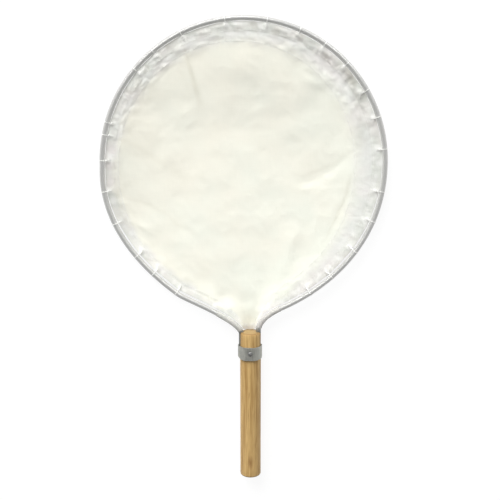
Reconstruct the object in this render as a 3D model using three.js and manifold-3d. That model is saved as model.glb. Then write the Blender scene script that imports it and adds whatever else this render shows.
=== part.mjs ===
// A culling net for sorting small fish: a bent rod hoop whose two legs are let into the sides of a
// wooden handle, a sheet strap nailed round them, and a shallow cloth bag lashed to the hoop with thread.
// It lies on a flat surface, bag down. Millimetres, +Z up, +Y from the handle to the far side of the hoop.
// The origin is in the middle of the object's length and width, on the surface that it lies on.
import * as THREE from "three";
import { mergeVertices } from "three/addons/utils/BufferGeometryUtils.js";
import Module from "manifold-3d";

// Driving dimensions
const OVERALL_LENGTH = 498;
const HOOP_WIDTH = 300;
const ROD_DIAMETER = 5.5;
const HANDLE_DIAMETER = 22.5;
const HANDLE_LENGTH = 165.5;
const HANDLE_X = 7.2; // the hand-bent hoop leans a little to the left of its handle
const GAP = 0.3; // between pieces that touch

// The rod: where its legs run beside the handle, and the hooks at their ends
const LEFT_LEG = 9.9; // from the handle's axis to the leg's, so the leg stands proud of the wood
const RIGHT_LEG = 8.4; // this one is sunk flush with the wood
const HOOK_Y = -107;
const HOOK_RADIUS = 4; // of the rod's centre line, where a leg turns in to its hole
const HOOK_TIP = 3; // from the handle's axis to the end of the hook

// The hoop's outline below its widest level, each side as two curves that meet at a shoulder
const WIDEST_Y = 97.5;
const LEFT_SIDE = {
  sign: -1,
  leg: -LEFT_LEG,
  sideReach: 10,
  shoulder: [70, -42],
  slope: 37, // degrees below the horizontal, towards the handle
  shoulderReach: [109, 11],
  legTop: -86,
  legReach: 15,
};
const RIGHT_SIDE = {
  sign: 1,
  leg: RIGHT_LEG,
  sideReach: 84,
  shoulder: [43, -56],
  slope: 25,
  shoulderReach: [51, 5],
  legTop: -83,
  legReach: 16,
};

// The handle's ends
const NECK_CHAMFER = 1.2;
const BUTT_ROUNDING = 2.5;

// The strap, from its upper edge down, and its nail
const STRAP_THICKNESS = 0.7;
const STRAP_WIDTH = 14.4;
const STRAP_SETBACK = 14.7; // from the handle's end to the strap
const LAP_ENDS = [118, 55]; // hidden end and outer end, in degrees round the handle from its right side
const LAPPED_FROM = 355; // degrees of turn from the hidden end, where the strip has climbed on to it
const LIFT_RAMP = 30;
const DRAWN_IN_FROM = 0.82; // share of the width, from the upper edge, where it draws in below the hooks
const NAIL_X = HANDLE_X - 0.3;
const NAIL_HEAD_DIAMETER = 5.4;
const NAIL_HEAD_HEIGHT = 1.6;
const NAIL_SHANK_DIAMETER = 2.4;
const NAIL_LENGTH = 12;

// The bag's cloth, drawn thicker than it is
const CLOTH = 1;
const HEM_WIDTH = 10.5;
const HEM_DROP = 2.6;
const HEM_THICKNESS = 1.2;
const BAG_MIDDLE = new THREE.Vector2(4, 90);
const NECK_EDGE_Y = -82.9; // where the cloth crosses from leg to leg, just clear of the handle
const SLEEVE_THICKNESS = 0.8; // of the hem where it is wrapped round the rod beside the handle
const SLEEVE_STARTS = [0.4, 0.45]; // left and right, as shares of the curve from shoulder to leg
const WALL_WIDTH = { mean: 9, right: 7, far: 2.5, ends: 1.5 }; // seen from above, widest at the right
const NECK_TAPER = { from: 10, to: 60, hem: 0.45, wall: 0.2 }; // distances from the neck, shares left there
const WALL_SAG = 0.8;

// The thread lashings: places along the rod from the top of the hoop, as they were tied by hand
const THREAD = 0.8;
const LASHED_AT = 9; // from the rod's axis to the hole in the hem
const LEFT_LASHINGS = [19, 66, 100, 126, 188, 201, 228, 261, 297, 338, 364, 396];
const RIGHT_LASHINGS = [24, 59, 88, 118, 152, 182, 216, 261, 294, 331, 368, 397];

// Worked out from the driving dimensions
const ROD_RADIUS = ROD_DIAMETER / 2;
const HANDLE_RADIUS = HANDLE_DIAMETER / 2;
const AXIS_Z = STRAP_THICKNESS + GAP + HANDLE_RADIUS; // the strap's underside meets the surface
const TOP_Y = OVERALL_LENGTH / 2;
const BUTT_Y = -OVERALL_LENGTH / 2;
const HANDLE_END_Y = BUTT_Y + HANDLE_LENGTH;
const STRAP_TOP_Y = HANDLE_END_Y - STRAP_SETBACK;
const NAIL_Y = STRAP_TOP_Y - STRAP_WIDTH / 2 + 0.9;
const HOOP_HALF_WIDTH = HOOP_WIDTH / 2 - ROD_RADIUS;
const HOOP_RISE = TOP_Y - ROD_RADIUS - WIDEST_Y;

const radians = THREE.MathUtils.degToRad;
const wasm = await Module();
wasm.setup();

const finishes = {
  polishedRod: new THREE.MeshStandardMaterial({ color: 0xb9bbbc, roughness: 0.18, metalness: 1 }),
  wood: new THREE.MeshStandardMaterial({ color: 0xc4a269, roughness: 0.6, metalness: 0 }),
  galvanised: new THREE.MeshStandardMaterial({ color: 0x969896, roughness: 0.5, metalness: 0.9 }),
  nail: new THREE.MeshStandardMaterial({ color: 0x75777a, roughness: 0.35, metalness: 1 }),
  bottomCloth: new THREE.MeshStandardMaterial({ color: 0xf3f1e5, roughness: 0.85, metalness: 0 }),
  wallCloth: new THREE.MeshStandardMaterial({ color: 0xe9e9e6, roughness: 0.8, metalness: 0 }),
  thread: new THREE.MeshStandardMaterial({ color: 0xf4f3ee, roughness: 0.7, metalness: 0 }),
};

const net = new THREE.Group();

function add(name, geometry, material) {
  const mesh = new THREE.Mesh(geometry, material);
  mesh.name = name;
  net.add(mesh);
  return mesh;
}

function solidOf(geometry) {
  const bare = geometry.clone().deleteAttribute("normal").deleteAttribute("uv");
  const merged = mergeVertices(bare, 1e-3);
  return new wasm.Manifold(
    new wasm.Mesh({
      numProp: 3,
      vertProperties: new Float32Array(merged.attributes.position.array),
      triVerts: new Uint32Array(merged.index.array),
    }),
  );
}

function geometryOf(solid) {
  const mesh = solid.getMesh();
  const geometry = new THREE.BufferGeometry();
  geometry.setAttribute("position", new THREE.BufferAttribute(mesh.vertProperties, 3));
  geometry.setIndex(new THREE.BufferAttribute(mesh.triVerts, 1));
  geometry.computeVertexNormals();
  return geometry;
}

// A line made of plane curves end to end at the level of the handle's axis. Each curve gets its own number
// of equal parameter steps, so that tight bends get more sections than long easy ones.
class RodLine extends THREE.Curve {
  constructor(pieces) {
    super();
    this.pieces = pieces;
    this.steps = pieces.reduce((sum, piece) => sum + piece.steps, 0);
  }

  getPoint(t, target = new THREE.Vector3()) {
    let step = t * this.steps;
    let index = 0;
    while (index < this.pieces.length - 1 && step > this.pieces[index].steps) {
      step -= this.pieces[index].steps;
      index += 1;
    }
    const { curve, from, to, steps } = this.pieces[index];
    const point = curve.getPoint(from + (to - from) * (step / steps));
    return target.set(point.x, point.y, AXIS_Z);
  }

  getUtoTmapping(u) {
    return u;
  }
}

function piece(curve, steps, from = 0, to = 1) {
  return { curve, steps, from, to };
}

function ringShape(radius, sides, holeRadius = 0) {
  const ring = (r) =>
    Array.from({ length: sides }, (_, i) => {
      const angle = (2 * Math.PI * i) / sides;
      return new THREE.Vector2(r * Math.cos(angle), r * Math.sin(angle));
    });
  const shape = new THREE.Shape(ring(radius));
  if (holeRadius > 0) shape.holes.push(new THREE.Path(ring(holeRadius)));
  return shape;
}

function alongLine(shape, pieces) {
  const line = new RodLine(pieces);
  return new THREE.ExtrudeGeometry(shape, { steps: line.steps, extrudePath: line, bevelEnabled: false });
}

// A body that runs round in a closed loop through sections of equal point counts.
function loopBody(sections) {
  const sides = sections[0].length;
  const index = [];
  sections.forEach((_, i) => {
    const here = i * sides;
    const next = ((i + 1) % sections.length) * sides;
    for (let j = 0; j < sides; j += 1) {
      const k = (j + 1) % sides;
      index.push(here + j, next + k, next + j);
      index.push(here + j, here + k, next + k);
    }
  });
  const positions = sections.flat().flatMap((p) => [p.x, p.y, p.z]);
  const geometry = new THREE.BufferGeometry();
  geometry.setAttribute("position", new THREE.Float32BufferAttribute(positions, 3));
  geometry.setIndex(index);
  geometry.computeVertexNormals();
  return geometry;
}

// The rod's centre line, one side of it: a quarter of an ellipse from the top to the widest level,
// then the two curves down to the leg beside the handle.
function sideCurves({ sign, leg, sideReach, shoulder, slope, shoulderReach, legTop, legReach }) {
  const widest = new THREE.Vector2(sign * HOOP_HALF_WIDTH, WIDEST_Y);
  const middle = new THREE.Vector2(sign * shoulder[0], shoulder[1]);
  const towardsNeck = new THREE.Vector2(-sign * Math.cos(radians(slope)), -Math.sin(radians(slope)));
  const top = new THREE.Vector2(HANDLE_X + leg, legTop);
  return {
    upper: new THREE.EllipseCurve(
      0, WIDEST_Y, HOOP_HALF_WIDTH, HOOP_RISE, Math.PI / 2, sign < 0 ? Math.PI : 0, sign > 0,
    ),
    lower: new THREE.CubicBezierCurve(
      widest,
      new THREE.Vector2(widest.x, widest.y - sideReach),
      middle.clone().addScaledVector(towardsNeck, -shoulderReach[0]),
      middle,
    ),
    neck: new THREE.CubicBezierCurve(
      middle,
      middle.clone().addScaledVector(towardsNeck, shoulderReach[1]),
      new THREE.Vector2(top.x, top.y + legReach),
      top,
    ),
    leg: new THREE.LineCurve(top, new THREE.Vector2(top.x, HOOK_Y + HOOK_RADIUS)),
    bend: new THREE.EllipseCurve(
      top.x - sign * HOOK_RADIUS, HOOK_Y + HOOK_RADIUS, HOOK_RADIUS, HOOK_RADIUS,
      sign < 0 ? Math.PI : 0, sign < 0 ? 1.5 * Math.PI : -0.5 * Math.PI, sign > 0,
    ),
    hook: new THREE.LineCurve(
      new THREE.Vector2(top.x - sign * HOOK_RADIUS, HOOK_Y),
      new THREE.Vector2(HANDLE_X + sign * HOOK_TIP, HOOK_Y),
    ),
  };
}

const left = sideCurves(LEFT_SIDE);
const right = sideCurves(RIGHT_SIDE);

function hookToNeck(side) {
  return [
    piece(side.hook, 1, 1, 0),
    piece(side.bend, 4, 1, 0),
    piece(side.leg, 2, 1, 0),
    piece(side.neck, 12, 1, 0),
  ];
}

function reversed(pieces) {
  return pieces.map(({ curve, steps, from, to }) => piece(curve, steps, to, from)).reverse();
}

// Hoop
const ROD_SIDES = 12;
const rodPieces = [
  ...hookToNeck(left),
  piece(left.lower, 16, 1, 0),
  piece(left.upper, 24, 1, 0),
  piece(right.upper, 24),
  piece(right.lower, 16),
  ...reversed(hookToNeck(right)),
];
add("hoop", alongLine(ringShape(ROD_RADIUS, ROD_SIDES), rodPieces), finishes.polishedRod);

// Handle: a turned dowel with a slot and a cross hole for each leg, and a hole for the nail
function dowel() {
  const rounding = [0, 30, 60, 90].map((angle) => {
    const inset = BUTT_ROUNDING * (1 - Math.sin(radians(angle)));
    const rise = BUTT_ROUNDING * (1 - Math.cos(radians(angle)));
    return new THREE.Vector2(HANDLE_RADIUS - inset, BUTT_Y + rise);
  });
  const profile = [
    new THREE.Vector2(0, BUTT_Y),
    ...rounding,
    new THREE.Vector2(HANDLE_RADIUS, HANDLE_END_Y - NECK_CHAMFER),
    new THREE.Vector2(HANDLE_RADIUS - NECK_CHAMFER, HANDLE_END_Y),
    new THREE.Vector2(0, HANDLE_END_Y),
  ];
  return new THREE.LatheGeometry(profile, 48).translate(HANDLE_X, 0, AXIS_Z);
}

function legSlot(side, sign, leg) {
  const width = ROD_DIAMETER + 2 * GAP;
  const past = 3; // beyond the handle's end and side
  const bottom = HOOK_Y - width / 2;
  const depth = HANDLE_RADIUS - Math.abs(leg) + past;
  const slot = new THREE.BoxGeometry(depth, HANDLE_END_Y + past - bottom, width);
  slot.translate(HANDLE_X + leg + (sign * depth) / 2, (HANDLE_END_Y + past + bottom) / 2, AXIS_Z);
  const tip = new THREE.LineCurve(side.hook.v2, side.hook.v2.clone().add(new THREE.Vector2(-sign * GAP, 0)));
  const hole = alongLine(ringShape(ROD_RADIUS + GAP, ROD_SIDES), [piece(tip, 1, 1, 0), ...hookToNeck(side)]);
  return solidOf(slot).add(solidOf(hole));
}

function nailHole() {
  const hole = new THREE.CylinderGeometry(
    NAIL_SHANK_DIAMETER / 2 + GAP, NAIL_SHANK_DIAMETER / 2 + GAP, 2 * HANDLE_RADIUS, 12,
  );
  hole.rotateX(Math.PI / 2);
  const bottom = nailHeadZ() - NAIL_LENGTH - GAP;
  return solidOf(hole.translate(NAIL_X, NAIL_Y, bottom + HANDLE_RADIUS));
}

function nailHeadZ() {
  return AXIS_Z + HANDLE_RADIUS + 2 * (STRAP_THICKNESS + GAP) + GAP;
}

const handle = solidOf(dowel())
  .subtract(legSlot(left, LEFT_SIDE.sign, LEFT_SIDE.leg))
  .subtract(legSlot(right, RIGHT_SIDE.sign, RIGHT_SIDE.leg))
  .subtract(nailHole());
add("handle", geometryOf(handle), finishes.wood);

// Strap: one strip wound clockwise once round handle and legs, its outer end lapped over its hidden end
const LEG_BULGE = LEFT_LEG + ROD_RADIUS - HANDLE_RADIUS;
const BULGE_HALF_ANGLE = 50;

function bulgeAt(angle) {
  const off = Math.abs(THREE.MathUtils.euclideanModulo(angle, 360) - 180);
  return off < BULGE_HALF_ANGLE ? LEG_BULGE * Math.cos(radians((90 * off) / BULGE_HALF_ANGLE)) ** 2 : 0;
}

function strap() {
  const [hidden, outer] = LAP_ENDS;
  const turn = 360 + hidden - outer;
  const steps = 84;
  const inside = [];
  const outside = [];
  for (let i = 0; i <= steps; i += 1) {
    const turned = (turn * i) / steps;
    const angle = hidden - turned;
    const climbed = THREE.MathUtils.smoothstep(turned, LAPPED_FROM - LIFT_RAMP, LAPPED_FROM);
    const lift = (STRAP_THICKNESS + GAP) * climbed;
    const radius = HANDLE_RADIUS + GAP + bulgeAt(angle) + lift;
    const way = new THREE.Vector2(Math.cos(radians(angle)), Math.sin(radians(angle)));
    inside.push(way.clone().multiplyScalar(radius));
    outside.push(way.clone().multiplyScalar(radius + STRAP_THICKNESS));
  }
  const shape = new THREE.Shape([...outside, ...inside.reverse()]);
  const strip = new THREE.ExtrudeGeometry(shape, { depth: STRAP_WIDTH, steps: 8, bevelEnabled: false });
  const position = strip.attributes.position;
  const point = new THREE.Vector3();
  for (let i = 0; i < position.count; i += 1) {
    point.fromBufferAttribute(position, i);
    const angle = THREE.MathUtils.radToDeg(Math.atan2(point.y, point.x));
    const drawn = THREE.MathUtils.smoothstep(point.z, DRAWN_IN_FROM * STRAP_WIDTH, STRAP_WIDTH);
    const radius = Math.hypot(point.x, point.y);
    const share = (radius - bulgeAt(angle) * drawn) / radius;
    position.setXY(i, point.x * share, point.y * share);
  }
  return strip.rotateX(Math.PI / 2).translate(HANDLE_X, STRAP_TOP_Y, AXIS_Z);
}

add("strap", geometryOf(solidOf(strap()).subtract(nailHole())), finishes.galvanised);

// Nail
function nail() {
  const headRadius = NAIL_HEAD_DIAMETER / 2;
  const shankRadius = NAIL_SHANK_DIAMETER / 2;
  const point = 2.5;
  const dome = [0, 22.5, 45, 67.5].map(
    (angle) =>
      new THREE.Vector2(headRadius * Math.cos(radians(angle)), NAIL_HEAD_HEIGHT * Math.sin(radians(angle))),
  );
  const profile = [
    new THREE.Vector2(0, -NAIL_LENGTH),
    new THREE.Vector2(shankRadius, -NAIL_LENGTH + point),
    new THREE.Vector2(shankRadius, 0),
    ...dome,
    new THREE.Vector2(0, NAIL_HEAD_HEIGHT),
  ];
  const geometry = new THREE.LatheGeometry(profile, 20);
  return geometry.rotateX(Math.PI / 2).translate(NAIL_X, NAIL_Y, nailHeadZ());
}

add("strap_nail", nail(), finishes.nail);

// The bag's mouth: points just inside the rod, each with its inward direction, round from the top of the
// hoop down its left side, across the neck and up the right side
const CLOTH_FROM_ROD = ROD_RADIUS + 0.45;
const LEAST_SQUARE = 0.6;
const EVENED_OVER = 5; // stations to each side

function mouthSide(side, sign) {
  const stations = [];
  for (const [curve, steps] of [[side.upper, 22], [side.lower, 18], [side.neck, 14]]) {
    for (let i = 0; i < steps; i += 1) {
      const tangent = curve.getTangent(i / steps);
      const inward = new THREE.Vector2(sign * tangent.y, -sign * tangent.x);
      const point = curve.getPoint(i / steps).addScaledVector(inward, CLOTH_FROM_ROD);
      if (point.y > NECK_EDGE_Y + 3) stations.push({ point, inward });
    }
  }
  return stations;
}

function mouth() {
  const leftStations = mouthSide(left, -1);
  const rightStations = mouthSide(right, 1).slice(1).reverse();
  const from = leftStations.at(-1).point;
  const to = rightStations[0].point;
  const across = [0.25, 0.5, 0.75].map((share) => ({
    point: new THREE.Vector2(THREE.MathUtils.lerp(from.x, to.x, share), NECK_EDGE_Y),
    inward: new THREE.Vector2(0, LEAST_SQUARE),
  }));
  return [...leftStations, ...across, ...rightStations];
}

// How wide the hem and the slanting wall look from above. The wall is widest on the right and almost folded
// away on the left, and both taper towards the neck.
function clothWidths(point) {
  const angle = Math.atan2(point.y - BAG_MIDDLE.y, point.x - BAG_MIDDLE.x);
  const { mean, right: rightMore, far, ends } = WALL_WIDTH;
  const wall = mean + rightMore * Math.cos(angle) + far * Math.sin(angle) + ends * Math.cos(2 * angle);
  const away = Math.hypot(point.x - HANDLE_X, point.y - NECK_EDGE_Y);
  const full = THREE.MathUtils.smoothstep(away, NECK_TAPER.from, NECK_TAPER.to);
  return {
    hem: HEM_WIDTH * THREE.MathUtils.lerp(NECK_TAPER.hem, 1, full),
    wall: wall * THREE.MathUtils.lerp(NECK_TAPER.wall, 1, full),
  };
}

// Each station gets its way to the middle and how square that is to the rod. Both hems run together at the
// neck, so the squareness has a least value and is evened out over the neighbouring stations.
function stationsTowardsMiddle(places) {
  const ways = places.map(({ point }) => BAG_MIDDLE.clone().sub(point).normalize());
  const squares = places.map(({ inward }, i) => Math.max(ways[i].dot(inward), LEAST_SQUARE));
  return places.map(({ point }, i) => {
    let sum = 0;
    for (let j = i - EVENED_OVER; j <= i + EVENED_OVER; j += 1) {
      sum += squares[(j + squares.length) % squares.length];
    }
    return { point, way: ways[i], square: sum / (2 * EVENED_OVER + 1), ...clothWidths(point) };
  });
}

const mouthStations = stationsTowardsMiddle(mouth());

// The point at a width of cloth in from the mouth, measured square to the rod, on the way to the middle.
function inFrom({ point, way, square }, width) {
  return point.clone().addScaledVector(way, width / square);
}

function atHeight(point, z) {
  return new THREE.Vector3(point.x, point.y, z);
}

// Hem: a doubled band lying inside the rod, wrapped right round it beside the handle
const HEM_EDGE_Z = AXIS_Z - 0.4;
const HEM_INNER_Z = HEM_EDGE_Z - HEM_DROP;

function hemBand() {
  return loopBody(
    mouthStations.map((station) => {
      const inner = inFrom(station, station.hem);
      return [
        atHeight(station.point, HEM_EDGE_Z),
        atHeight(station.point, HEM_EDGE_Z - HEM_THICKNESS),
        atHeight(inner, HEM_INNER_Z - HEM_THICKNESS),
        atHeight(inner, HEM_INNER_Z),
      ];
    }),
  );
}

function sleeve(side, start) {
  const inner = ROD_RADIUS + GAP;
  const shape = ringShape(inner + SLEEVE_THICKNESS, ROD_SIDES, inner);
  const neck = side.neck;
  let end = 1;
  while (neck.getPoint(end).y < NECK_EDGE_Y + 0.6) end -= 0.01;
  return solidOf(alongLine(shape, [piece(neck, 12, start, end)]));
}

// The rod's centre line on one side, from the top of the hoop down, to find places along it.
function halfLine(side) {
  const line = new THREE.CurvePath();
  line.add(side.upper);
  line.add(side.lower);
  line.add(side.neck);
  return line;
}

const lashings = [
  { side: left, sign: -1, places: LEFT_LASHINGS },
  { side: right, sign: 1, places: RIGHT_LASHINGS },
].flatMap(({ side, sign, places }) => {
  const line = halfLine(side);
  const length = line.getLength();
  return places.map((place) => {
    const tangent = line.getTangentAt(place / length);
    return {
      point: line.getPointAt(place / length),
      inward: new THREE.Vector2(sign * tangent.y, -sign * tangent.x),
    };
  });
});

function lashingHole({ point, inward }) {
  const width = THREAD + 2 * GAP;
  const hole = new THREE.BoxGeometry(width, width, 8);
  hole.rotateZ(Math.atan2(inward.y, inward.x));
  const at = point.clone().addScaledVector(inward, LASHED_AT);
  return solidOf(hole.translate(at.x, at.y, HEM_EDGE_Z));
}

let hem = solidOf(hemBand()).add(sleeve(left, SLEEVE_STARTS[0])).add(sleeve(right, SLEEVE_STARTS[1]));
for (const lashing of lashings) hem = hem.subtract(lashingHole(lashing));
add("hem", geometryOf(hem), finishes.wallCloth);

// Wall: one strip round the bag from the hem down to the bottom's edge on the surface
add(
  "bag_wall",
  loopBody(
    mouthStations.map((station) => {
      const top = station.hem + GAP;
      const upper = inFrom(station, top);
      const middle = inFrom(station, top + 0.45 * station.wall);
      const foot = inFrom(station, top + station.wall);
      const middleZ = HEM_INNER_Z * 0.5 - WALL_SAG;
      return [
        atHeight(upper, HEM_INNER_Z - GAP),
        atHeight(upper, HEM_INNER_Z - GAP - CLOTH),
        atHeight(middle, middleZ - CLOTH),
        atHeight(inFrom(station, top + station.wall - 0.5 * CLOTH), 0),
        atHeight(foot, 0),
        atHeight(foot, CLOTH),
        atHeight(middle, middleZ),
      ];
    }),
  ),
  finishes.wallCloth,
);

// Bottom: the cloth that lies on the surface
const bottomOutline = mouthStations.map((station) => inFrom(station, station.hem + 2 * GAP + station.wall));
add(
  "bag_bottom",
  new THREE.ExtrudeGeometry(new THREE.Shape(bottomOutline), { depth: CLOTH, bevelEnabled: false }),
  finishes.bottomCloth,
);

// Lashings: each one loop of thread over the rod, through the hem and back under it
const THREAD_TURN = 0.8; // how far the thread cuts the corner where it goes through the hem

function threadLoop({ point, inward }) {
  const clear = ROD_RADIUS + GAP + THREAD / 2;
  const holeZ = HEM_EDGE_Z - (HEM_DROP * (LASHED_AT - CLOTH_FROM_ROD)) / HEM_WIDTH - AXIS_Z;
  const over = holeZ + GAP + THREAD;
  const under = holeZ - HEM_THICKNESS - GAP - THREAD;
  const round = [72, 108, 144, 180, 216, 252].map(
    (angle) => new THREE.Vector2(clear * Math.cos(radians(angle)), clear * Math.sin(radians(angle))),
  );
  const loop = [
    ...round,
    new THREE.Vector2(2, -clear),
    new THREE.Vector2(LASHED_AT - THREAD_TURN, under),
    new THREE.Vector2(LASHED_AT, under + THREAD_TURN),
    new THREE.Vector2(LASHED_AT, over - THREAD_TURN),
    new THREE.Vector2(LASHED_AT - THREAD_TURN, over),
  ];
  const across = new THREE.Vector3(-inward.y, inward.x, 0);
  const sections = loop.map((here, i) => {
    const before = loop.at(i - 1);
    const after = loop[(i + 1) % loop.length];
    const run = after.clone().sub(before).normalize();
    const out = new THREE.Vector2(run.y, -run.x);
    const outward = new THREE.Vector3(inward.x * out.x, inward.y * out.x, out.y);
    const centre = atHeight(point.clone().addScaledVector(inward, here.x), AXIS_Z + here.y);
    return [0, 72, 144, 216, 288].map((angle) =>
      centre
        .clone()
        .addScaledVector(outward, (THREAD / 2) * Math.cos(radians(angle)))
        .addScaledVector(across, (THREAD / 2) * Math.sin(radians(angle))),
    );
  });
  return loopBody(sections);
}

lashings.forEach((lashing, i) => {
  add(`lashing_${String(i + 1).padStart(2, "0")}`, threadLoop(lashing), finishes.thread);
});

export default net;
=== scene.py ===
# Dresses the culling net: a bright rod hoop strapped to a wooden handle, with its shallow cloth bag
# lashed on. Lengths are written in millimetres and scaled to metres where a mesh is made.
import random
from math import cos, pi, radians, sin

import bmesh
import bpy
import numpy as np
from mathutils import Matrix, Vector, noise
from mathutils.geometry import delaunay_2d_cdt
from numpy.linalg import norm, solve

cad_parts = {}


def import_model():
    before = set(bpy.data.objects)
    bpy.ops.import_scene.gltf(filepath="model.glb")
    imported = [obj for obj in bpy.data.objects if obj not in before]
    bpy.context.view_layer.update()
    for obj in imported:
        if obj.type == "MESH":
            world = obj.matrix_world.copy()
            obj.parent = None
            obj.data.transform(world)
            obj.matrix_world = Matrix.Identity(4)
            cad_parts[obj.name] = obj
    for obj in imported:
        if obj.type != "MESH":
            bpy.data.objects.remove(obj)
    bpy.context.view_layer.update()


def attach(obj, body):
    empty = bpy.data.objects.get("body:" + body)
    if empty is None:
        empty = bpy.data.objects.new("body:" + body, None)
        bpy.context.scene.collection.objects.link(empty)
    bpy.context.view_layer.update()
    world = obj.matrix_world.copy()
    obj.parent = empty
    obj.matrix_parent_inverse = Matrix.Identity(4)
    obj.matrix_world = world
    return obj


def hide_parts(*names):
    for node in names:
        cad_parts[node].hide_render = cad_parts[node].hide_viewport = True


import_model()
MM = 0.001

# The same driving dimensions as the solids
ROD_RADIUS = 2.75
HANDLE_RADIUS = 11.25
HANDLE_X = 7.2
AXIS_Z = 12.25
BUTT_Y, HANDLE_END_Y = -249, -83.5
STRAP_TOP_Y, STRAP_WIDTH, STRAP_THICKNESS = -98.2, 14.4, 0.7
NAIL_AT = (HANDLE_X - 0.3, STRAP_TOP_Y - STRAP_WIDTH / 2 + 0.9)
GAP = 0.3
WIDEST_Y, HALF_WIDTH, RISE = 97.5, 147.25, 148.75
HOOK_Y, HOOK_RADIUS, HOOK_TIP = -107, 4, 3
# By side, -1 for the left: the leg's place beside the handle's middle and its top, the shoulder and its
# slope, and the reach of the curve's handles below the widest place, round the shoulder and above the leg
SIDES = {
    -1: dict(leg=-9.9, reach=10, shoulder=(70, -42), slope=37, ahead=(109, 11), top=-86, up=15),
    1: dict(leg=8.4, reach=84, shoulder=(43, -56), slope=25, ahead=(51, 5), top=-83, up=16),
}
# Distances of the lashings along the rod from the hoop's top
LASHINGS = {
    -1: (19, 66, 100, 126, 188, 201, 228, 261, 297, 338, 364, 396),
    1: (24, 59, 88, 118, 152, 182, 216, 261, 294, 331, 368, 397),
}
BAG_MIDDLE = np.array([4, 90])
NECK_EDGE_Y = -83.2


# Small helpers

def in_scene(name, data):
    made = bpy.data.objects.new(name, data)
    bpy.context.scene.collection.objects.link(made)
    return made


def new_mesh(name, verts, faces):
    """A mesh from millimetre vertices."""
    mesh = bpy.data.meshes.new(name)
    mesh.from_pydata((np.array(verts, float) * MM).tolist(), [], faces)
    return mesh


def smooth_piece(name, verts, faces):
    mesh = new_mesh(name, verts, faces)
    bm = bmesh.new()
    bm.from_mesh(mesh)
    bmesh.ops.recalc_face_normals(bm, faces=bm.faces)
    bm.to_mesh(mesh)
    bm.free()
    mesh.shade_smooth()
    return in_scene(name, mesh)


def net_piece(name, verts, faces, material, slot, nodes=()):
    """A shown piece, riding on the net's one body."""
    piece = smooth_piece(name, verts, faces)
    piece.data.materials.append(material)
    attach(piece, "root")
    if nodes:
        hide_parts(*nodes)
    return piece


def grid_faces(rows, columns, wrap_rows=False, wrap_columns=False):
    """Quads between rows of points, closed round where asked."""
    faces = []
    for i in range(rows if wrap_rows else rows - 1):
        for j in range(columns if wrap_columns else columns - 1):
            a, b, k = i * columns, (i + 1) % rows * columns, (j + 1) % columns
            faces.append((a + j, a + k, b + k, b + j))
    return faces


def level(plan, z):
    """Plan points lifted to a height, one for all or one for each."""
    return np.column_stack([plan, np.broadcast_to(z, len(plan))])


def turn_round(count):
    return np.linspace(0, 2 * pi, count, endpoint=False)


def smoothstep(low, high, x):
    t = np.clip((x - low) / (high - low), 0, 1)
    return t * t * (3 - 2 * t)


def wander(points, size, seed):
    """Smooth noise from -1 to 1 at each point. size is that of its features, one number or one per axis."""
    scaled = np.asarray(points, float) / size
    if scaled.shape[1] == 2:
        scaled = level(scaled, 0)
    return np.array([noise.noise(Vector((x, y, z + seed))) for x, y, z in scaled])


def wandered(places, size, *seeds):
    """Offsets in the plan, so that places don't lie too cleanly."""
    return np.column_stack([wander(places, size, seed) for seed in seeds])


class Line:
    """A line, in the plan or in space, that is read by distance along it."""

    def __init__(self, points, closed=False):
        self.points = np.concatenate([points, points[:1]]) if closed else points
        steps = norm(np.diff(self.points, axis=0), axis=1)
        self.along = np.concatenate([[0], np.cumsum(steps)])
        self.length = self.along[-1]

    def at(self, s):
        return np.stack([np.interp(s, self.along, values) for values in self.points.T], -1)

    def tangent(self, s):
        d = self.at(np.minimum(s + 0.6, self.length)) - self.at(np.maximum(s - 0.6, 0))
        return d / norm(d, axis=-1, keepdims=True)


def rounded(points, count):
    """A closed line with its corners rounded, as evenly spaced points."""
    for _ in range(2):
        after = np.roll(points, -1, 0)
        points = np.stack([0.75 * points + 0.25 * after, 0.25 * points + 0.75 * after], 1).reshape(-1, 3)
    line = Line(points, closed=True)
    return line.at(np.linspace(0, line.length, count, endpoint=False))


def tube(points, radius, sides, closed=False):
    """Rings of a round tube along points (x, y, z), square to them, kept from twisting."""
    points = np.asarray(points, float)
    n = len(points)
    tangents = np.roll(points, -1, 0) - np.roll(points, 1, 0) if closed else np.gradient(points, axis=0)
    tangents /= norm(tangents, axis=1, keepdims=True)
    normal = np.cross(tangents[0], (0, 0, 1))
    if norm(normal) < 1e-3:
        normal = np.cross(tangents[0], (0, 1, 0))
    radius = np.broadcast_to(radius, n)
    angles = turn_round(sides)[:, None]
    rings = []
    for point, r, tangent in zip(points, radius, tangents):
        normal = normal - tangent * normal.dot(tangent)
        normal /= norm(normal)
        other = np.cross(tangent, normal)
        rings.append(point + r * (np.cos(angles) * normal + np.sin(angles) * other))
    faces = grid_faces(n, sides, wrap_rows=closed, wrap_columns=True)
    if not closed:
        faces += [tuple(range(sides))[::-1], tuple(range((n - 1) * sides, n * sides))]
    return np.concatenate(rings), faces


def joined(parts):
    """Several (verts, faces) as one."""
    verts, faces = [], []
    for v, f in parts:
        faces += [tuple(len(verts) + i for i in face) for face in f]
        verts += v.tolist()
    return verts, faces


def applied(piece):
    """Replaces a piece's mesh by what its modifiers make of it."""
    evaluated = piece.evaluated_get(bpy.context.evaluated_depsgraph_get())
    mesh = bpy.data.meshes.new_from_object(evaluated)
    piece.modifiers.clear()
    piece.data = mesh


# The rod's line, one side at a time, as in the solids

def bezier(a, b, c, d, count):
    t = np.linspace(0, 1, count)[1:, None]
    return (1 - t) ** 3 * a + 3 * (1 - t) ** 2 * t * b + 3 * (1 - t) * t**2 * c + t**3 * d


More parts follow.
